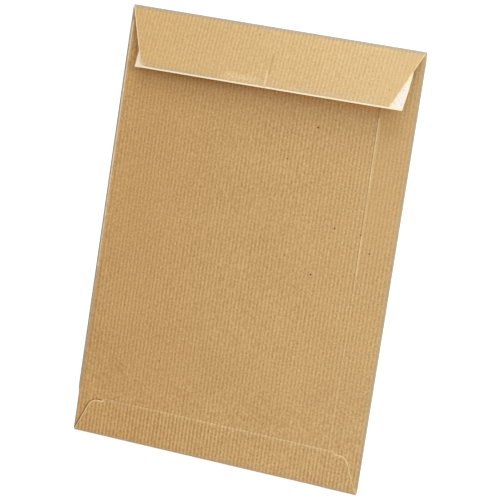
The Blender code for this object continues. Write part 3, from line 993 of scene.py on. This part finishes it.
    def on_flap(self, x: float, depth: float, inside: float = 0.0) -> Vector:
        """A point of the closing flap.

        Args:
            x: Its place across the envelope.
            depth: Its distance from the flap's fold.
            inside: How far it lies off the flap's inner side.

        Returns:
            The point.
        """
        lift = self.flap_lift(x)
        out, root_z = self.arc(self.mouth_radius, math.pi - lift)
        y = self.mouth_line + out - depth * math.cos(lift) - inside * math.sin(lift)
        return Vector((x, y, root_z + depth * math.sin(lift) - inside * math.cos(lift)))

    def crease(self, x: float, depth: float) -> float:
        """The height of the faint crease down the middle of the flap."""
        off = x - self.crease_x - self.crease_wander * math.sin(depth * 150.0)
        line = bump(off / self.crease_ridge) - 0.7 * bump((off - self.crease_gap) / self.crease_valley)
        return self.crease_rise * line * ease(depth / self.crease_start - 1.0)

    def over_mouth_fold(self, x: float, run: float) -> tuple[Vector, float]:
        """A point of the closing flap or its fold, with its share of the ribs' height."""
        if run > self.mouth_arc:
            depth = run - self.mouth_arc
            return self.on_flap(x, depth) + Vector((0.0, 0.0, self.crease(x, depth))), 1.0
        share = run / self.mouth_arc
        out, z = self.arc(self.mouth_radius, share * (math.pi - self.flap_lift(x)))
        return Vector((x, self.mouth_line + out, z)), share

    def over_bottom_fold(self, x: float, run: float) -> tuple[Vector, float]:
        """A point of the bottom flap or its fold, with its share of the ribs' height."""
        if run > self.bottom_arc:
            y = self.bottom_line + run - self.bottom_arc
            return Vector((self.pinched(x, y), y, self.bottom_flap_height(x, y))), 1.0
        share = run / self.bottom_arc
        radius = (self.bottom_flap_height(x, self.bottom_line) - self.front_z) / 2
        out, z = self.arc(radius, share * math.pi)
        return Vector((self.pinched(x, self.bottom_line - out), self.bottom_line - out, z)), share

    def folded(self, u: float, v: float) -> tuple[Vector, float]:
        """Where the point (u, v) of the flat blank lies, and its share of the ribs' height.

        Args:
            u: The place across the blank.
            v: The place along the blank.

        Returns:
            The point, and a share from 0 on a side fold to 1 on a panel.
        """
        if v > self.mouth_line:
            return self.over_mouth_fold(u, v - self.mouth_line)
        if v < self.bottom_line:
            return self.over_bottom_fold(u, self.bottom_line - v)
        if u < self.left_line:
            run = self.left_line - u
            if run > self.left_arc:
                x = self.left_line + run - self.left_arc
                return Vector((self.pinched(x, v), v, self.back_height(x, v))), self.rib_share(x)
            out, z = self.arc(self.left_radius, run / self.left_radius)
            return Vector((self.pinched(self.left_line - out, v), v, z)), 0.0
        if u > self.right_line:
            run = u - self.right_line
            if run > self.right_arc:
                x = self.right_line - (run - self.right_arc)
                return Vector((x, v, self.seam_height(x, v))), self.rib_share(x)
            out, z = self.arc(self.right_radius, run / self.right_radius)
            return Vector((self.right_line + out, v, z)), 0.0
        return Vector((self.pinched(u, v), v, self.front_z)), self.rib_share(u)

    def rib_share(self, x: float) -> float:
        """1 where the ribs run, and 0 on the narrow stretch beside each side fold."""
        return 1.0 if abs(x) <= self.half_ribs * self.ribs.pitch / 2 + self.paper else 0.0

    def flap_outline(
        self, line: float, way: int, arc: float, depth: float, tapers: Pair, corners: Pair, step: float = 0.0
    ) -> list[Pair]:
        """A flap's outline in the flat blank.

        Args:
            line: Where its fold starts.
            way: 1 for a flap up the blank and -1 for one down it.
            arc: The length of paper in its fold.
            depth: The flap's depth beyond the fold.
            tapers: How far its left-hand and right-hand sides slant.
            corners: The radii of its left-hand and right-hand corners.
            step: How much lower its shoulders lie than the middle of its edge.

        Returns:
            The outline's points.
        """
        root = line + way * arc
        end = root + way * (depth - step)
        shoulder = self.width / 2 - self.bottom_shoulder
        outline = [(self.flap_base, line), (self.flap_base, root)]
        for side, taper, corner in ((1, tapers[1], corners[1]), (-1, tapers[0], corners[0])):
            inset = (depth - step) * math.tan(taper)
            centre_x = self.flap_base - inset + corner * math.tan(taper) - corner / math.cos(taper)
            turn = (math.pi / 2 - taper) / self.corner_steps
            half: list[Pair] = []
            for angle in [taper + turn * k for k in range(self.corner_steps + 1)]:
                x = centre_x + corner * math.cos(angle)
                half.append((side * x, end - way * corner * (1.0 - math.sin(angle))))
            if step:
                half += [(side * shoulder, end), (side * (shoulder - step), end + way * step)]
            outline += half[::side]
        return outline + [(-self.flap_base, root), (-self.flap_base, line)]

    def panels(self) -> list[tuple[list[Pair], list[float], list[float]]]:
        """The blank's five panels.

        Returns:
            For each panel its outline, and the lines that divide it along and across.
        """
        half_step = self.ribs.pitch / self.columns_per_rib
        ribs = [k * half_step for k in range(-int(self.half_ribs * self.columns_per_rib / 2), 0)]
        ribs = ribs + [0.0] + [-x for x in reversed(ribs)]
        seam_edge = self.width / 2 - self.seam_width(self.bottom_edge)
        across = ribs + [-self.flap_base, self.flap_base, seam_edge - self.seam_ramp, seam_edge]
        seam_start = self.width / 2 - self.seam_reach
        mirror_left = [2 * self.left_line - self.left_arc - x for x in across]
        mirror_right = [2 * self.right_line + self.right_arc - x for x in ribs if x > seam_start]
        left_root = self.left_line - self.left_arc
        right_root = self.right_line + self.right_arc
        mouth_root = self.mouth_line + self.mouth_arc
        bottom_root = self.bottom_line - self.bottom_arc
        left_bend, right_bend, mouth_bend, bottom_bend = (
            [root] + spread(min(root, line), max(root, line), self.fold_steps)
            for root, line in (
                (left_root, self.left_line),
                (right_root, self.right_line),
                (mouth_root, self.mouth_line),
                (bottom_root, self.bottom_line),
            )
        )
        pinch_end = self.pinch_height - self.length / 2
        rows = [self.bottom_edge, pinch_end] + spread(self.back_foot, self.bottom_edge, self.foot_rows)
        rows += spread(self.bottom_edge, pinch_end, self.pinch_rows)
        rows += spread(pinch_end, self.back_top, self.pocket_rows)
        back_ends = (self.back_foot, self.back_top)
        back_end = left_root - (self.back_right - self.left_line)
        fold_to_edge = right_root + self.right_line - self.width / 2
        seam_ends = tuple(fold_to_edge + self.seam_width(y) for y in back_ends)
        front = quad(self.left_line, (self.right_line,) * 2, (self.bottom_line, self.mouth_line))
        back = quad(back_end, (self.left_line,) * 2, back_ends)
        seam = quad(self.right_line, seam_ends, back_ends)
        tapers = (self.flap_taper_left, self.flap_taper_right)
        corners = (self.flap_corner_left, self.flap_corner_right)
        closing = self.flap_outline(self.mouth_line, 1, self.mouth_arc, self.flap_depth, tapers, corners)
        closing_rows = spread(mouth_root, mouth_root + self.flap_depth, self.closing_rows)
        run = self.bottom_edge - self.bottom_line
        tapers, corners = (self.bottom_taper,) * 2, (self.bottom_corner,) * 2
        step = self.bottom_step
        bottom = self.flap_outline(self.bottom_line, -1, self.bottom_arc, run, tapers, corners, step)
        bottom_rows = spread(bottom_root - run, bottom_root, self.bottom_rows)
        return [
            (front, across, list(back_ends) + rows),
            (back, mirror_left + left_bend, rows),
            (seam, mirror_right + right_bend, rows),
            (closing, across, mouth_bend + closing_rows),
            (bottom, across, bottom_bend + bottom_rows),
        ]

    def edge_paleness(self, u: float, v: float) -> float:
        """How pale the cut edge shows at a point of the blank's outline, from 0 to 1; the paleness is partly
        the cut paper's own and partly a painted highlight.
        """
        if v > self.mouth_line + self.mouth_arc + self.flap_depth - self.paper:
            return 0.0
        if v > self.mouth_line:
            return 1.0 if u < 0.0 else 0.8
        if v < self.bottom_line - self.bottom_arc - (self.bottom_edge - self.bottom_line) + self.paper:
            return 0.50
        return 0.75

    def build_mesh(self) -> bpy.types.Mesh:
        """Joins the panels into one blank and folds it.

        Returns:
            The sheet's middle surface, with the attributes that the ribs and the finish read.
        """
        joined = bmesh.new()
        for outline, along, across in self.panels():
            part = finish_sheet(cut_sheet(outline, along, across, self.fringe), "panel")
            joined.from_mesh(part)
            bpy.data.meshes.remove(part)
        bmesh.ops.remove_doubles(joined, verts=joined.verts[:], dist=1e-6)
        bmesh.ops.recalc_face_normals(joined, faces=joined.faces[:])
        share_layer = joined.verts.layers.float.new(Relief.RIB.value)
        edge_layer = joined.verts.layers.float.new(Relief.CUT_EDGE.value)
        depth_layer = joined.verts.layers.float.new(Relief.DEPTH.value)
        for vert in joined.verts:
            u, v = vert.co.x, vert.co.y
            vert[edge_layer] = self.edge_paleness(u, v) if vert.is_boundary else 0.0
            vert[depth_layer] = max(0.0, v - self.mouth_line - self.mouth_arc)
            vert.co, vert[share_layer] = self.folded(u, v)
        return finish_sheet(joined, "kraft_envelope")

    def build(self, finish: RibbedKraft) -> bpy.types.Object:
        """Makes the ribbed sheet and gives it its thickness and finish.

        Args:
            finish: The paper's finish.

        Returns:
            The finished object, with a plain mesh.
        """
        piece = link_piece("kraft_envelope", self.build_mesh())
        self.ribs.attach(piece, self.ribs.build(), finish.build())
        thicken(piece, self.paper, True)
        return piece


@dataclass
class ClosingStrip:
    """The adhesive on the inside of the closing flap, and the release liner over it."""

    flap: FoldedPaper
    adhesive_thickness: float = 0.00006
    adhesive_width: float = 0.020
    adhesive_end_inset: float = 0.0235
    adhesive_edge: float = 0.0035
    liner_thickness: float = 0.00008
    liner_width: float = 0.030
    liner_overhang: float = 0.0015
    liner_left_inset: float = 0.0123
    liner_right_inset: float = 0.0062
    layer_gap: float = 0.00005
    corner_curl: float = 0.0007
    left_slant: float = 0.055
    right_slant: float = 0.058
    slant_run: float = 0.015
    slant_reach: float = 0.02
    curl_reach: Pair = (0.009, 0.012)
    fringe: float = 0.0005
    columns: int = 140
    rows: int = 24

    def layer_place(self, layer: StripLayer) -> float:
        """How far a layer's middle lies off the flap's middle.

        Args:
            layer: Which of the two layers is meant.

        Returns:
            The distance.
        """
        adhesive = self.flap.paper / 2 + self.layer_gap + self.adhesive_thickness / 2
        if layer is StripLayer.ADHESIVE:
            return adhesive
        return adhesive + self.adhesive_thickness / 2 + self.layer_gap + self.liner_thickness / 2

    def patch(
        self,
        name: str,
        span: Pair,
        depths: Pair,
        place: Callable[[float, float], Vector],
        thickness: float,
        material: bpy.types.Material,
    ) -> bpy.types.Object:
        """A rectangular strip of sheet laid along the flap.

        Args:
            name: The object's name.
            span: Where it starts and ends across the envelope.
            depths: Its nearest and furthest distance from the flap's fold.
            place: Where a point with a given x and depth lies.
            thickness: The sheet's thickness.
            material: The sheet's finish.

        Returns:
            The finished object, with a plain mesh.
        """
        along, across = spread(*span, self.columns), spread(*depths, self.rows)
        bm = cut_sheet(quad(span[0], (span[1],) * 2, depths), along, across, self.fringe)
        bmesh.ops.remove_doubles(bm, verts=bm.verts[:], dist=1e-6)
        bmesh.ops.recalc_face_normals(bm, faces=bm.faces[:])
        edge_layer = bm.verts.layers.float.new(Relief.CUT_EDGE.value)
        depth_layer = bm.verts.layers.float.new(Relief.DEPTH.value)
        for vert in bm.verts:
            vert[edge_layer] = 1.0 if vert.is_boundary else 0.0
            vert[depth_layer] = vert.co.y
            vert.co = place(vert.co.x, vert.co.y)
        piece = link_piece(name, finish_sheet(bm, name))
        piece.data.materials.append(material)
        thicken(piece, thickness, False)
        return piece

    def build_adhesive(self, finish: ContactAdhesive) -> bpy.types.Object:
        """The adhesive film.

        Args:
            finish: The film's finish.

        Returns:
            The finished object.
        """
        off = self.layer_place(StripLayer.ADHESIVE)
        edge = self.flap.flap_depth - self.adhesive_edge
        reach = self.flap.width / 2 - self.adhesive_end_inset
        return self.patch(
            "contact_adhesive",
            (-reach, reach),
            (edge - self.adhesive_width, edge),
            lambda x, depth: self.flap.on_flap(x, depth, off),
            self.adhesive_thickness,
            finish.build(),
        )

    def build_liner(self, finish: SiliconePaper) -> bpy.types.Object:
        """The release liner, with its left-hand corner curled a little downwards.

        Args:
            finish: The liner's finish.

        Returns:
            The finished object.
        """
        off = self.layer_place(StripLayer.LINER)
        edge = self.flap.flap_depth + self.liner_overhang
        left = -self.flap.width / 2 + self.liner_left_inset
        right = self.flap.width / 2 - self.liner_right_inset

        def place(x: float, depth: float) -> Vector:
            """Where a point of the flat liner lies on the flap.

            Args:
                x: Its place across the envelope.
                depth: Its distance from the flap's fold.

            Returns:
                The point.
            """
            from_left, from_edge = x - left, edge - depth
            corner = ease(1.0 - from_left / self.curl_reach[0]) * ease(1.0 - from_edge / self.curl_reach[1])
            run = min(from_edge, self.slant_run)
            inwards = self.left_slant * run * ease(1.0 - from_left / self.slant_reach)
            drawn_in = self.right_slant * (self.slant_run - run) * ease(1.0 - (right - x) / self.slant_reach)
            return self.flap.on_flap(x + inwards - drawn_in, depth, off + self.corner_curl * corner)

        return self.patch(
            "white_release_liner",
            (left, right),
            (edge - self.liner_width, edge),
            place,
            self.liner_thickness,
            finish.build(),
        )


@dataclass
class Studio:
    """The floor, the lamps, the white surroundings and the camera."""

    floor_size: float = 6.0
    floor_drop: float = 0.00005
    sky_strength: float = 0.48
    sky_colour: Colour = (1.240, 1.000, 0.820)
    lamp_colour: Colour = (0.800, 1.000, 1.160)
    top_strength: float = 1.20
    top_direction: Triple = (0.10, 0.88, 0.47)
    top_softness: float = math.radians(34.0)
    key_power: float = 21.4
    key_place: Triple = (1.30, 0.75, 1.50)
    key_size: float = 1.1
    camera_place: Triple = (0.5634, 0.2158, 1.5702)
    camera_right: Triple = (0.924758, 0.149929, -0.349776)
    camera_up: Triple = (-0.185259, 0.980220, -0.069633)
    camera_back: Triple = (0.332417, 0.129193, 0.934242)
    lens: float = 165.24

    def build_floor(self, finish: StudioWhite) -> bpy.types.Object:
        """The floor.

        Args:
            finish: The floor's finish.

        Returns:
            The floor's object.
        """
        bm = bmesh.new()
        bmesh.ops.create_grid(bm, x_segments=1, y_segments=1, size=self.floor_size / 2)
        mesh = finish_sheet(bm, "floor")
        mesh.transform(Matrix.Translation((0.0, 0.0, -self.floor_drop)))
        mesh.materials.append(finish.build())
        floor = link_piece("floor", mesh)
        return floor

    def build_lamps(self) -> None:
        """The broad key lamp on the right, and the soft light from beyond the closing flap."""
        top = bpy.data.lights.new("top", "SUN")
        top.energy = self.top_strength
        top.angle = self.top_softness
        self.add_lamp(top, self.top_direction)
        key = bpy.data.lights.new("key", "AREA")
        key.shape = "DISK"
        key.energy = self.key_power
        key.size = self.key_size
        self.add_lamp(key, self.key_place)

    def add_lamp(self, lamp: bpy.types.Light, place: Triple) -> None:
        """Puts a lamp in the scene, which shines towards the middle of the envelope.

        Args:
            lamp: The lamp's data.
            place: Where it stands.
        """
        lamp.color = self.lamp_colour
        piece = link_piece(lamp.name, lamp)
        piece.location = place
        piece.rotation_euler = Vector(place).to_track_quat("Z", "Y").to_euler()

    def build_sky(self) -> None:
        """White surroundings, which the camera sees at full white and the object at a lower strength."""
        world = bpy.data.worlds.new("white_surroundings")
        world.use_nodes = True
        sheet = NodeSheet(world.node_tree)
        background = world.node_tree.nodes["Background"]
        ray = sheet.add("ShaderNodeLightPath").outputs["Is Camera Ray"]
        colour = sheet.blend(ray, self.sky_colour, (1.0, 1.0, 1.0))
        sheet.tree.links.new(colour, background.inputs["Color"])
        strength = sheet.maths("MULTIPLY_ADD", ray, 1.0 - self.sky_strength, self.sky_strength)
        sheet.tree.links.new(strength, background.inputs["Strength"])
        bpy.context.scene.world = world
        bpy.context.scene.view_settings.view_transform = "Standard"

    def build_camera(self) -> bpy.types.Object:
        """The camera, placed by the pocket's four corners in the photograph.

        Returns:
            The camera's object.
        """
        data = bpy.data.cameras.new("camera")
        data.lens = self.lens
        data.sensor_width = 36.0
        data.clip_start = 0.05
        data.clip_end = 50.0
        camera = link_piece("camera", data)
        columns = (self.camera_right, self.camera_up, self.camera_back)
        turn = Matrix(columns).transposed().to_4x4()
        camera.matrix_world = Matrix.Translation(self.camera_place) @ turn
        bpy.context.scene.camera = camera
        return camera


def place_piece(piece: bpy.types.Object, node: str) -> None:
    """Lets a piece ride on the envelope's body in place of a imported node.

    Args:
        piece: The dressed piece.
        node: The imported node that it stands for.
    """
    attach(piece, "root")
    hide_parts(node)
    faces = len(piece.data.polygons)
    LOG.info("%s stands for %s: %d faces", piece.name, node, faces)


def main() -> None:
    """Builds the whole scene."""
    logging.basicConfig(level=logging.INFO, format="%(name)s: %(message)s")
    for old in list(bpy.data.objects):
        bpy.data.objects.remove(old, do_unlink=True)
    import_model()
    studio = Studio()
    studio.build_camera()
    paper = FoldedPaper()
    place_piece(paper.build(RibbedKraft("ribbed_kraft_paper")), "envelope")
    strip = ClosingStrip(paper)
    place_piece(strip.build_adhesive(ContactAdhesive("hot_melt_film")), "adhesive_strip")
    place_piece(strip.build_liner(SiliconePaper("release_paper")), "release_liner")
    studio.build_floor(StudioWhite("studio_floor"))
    studio.build_lamps()
    studio.build_sky()


if __name__ == "__main__":
    main()
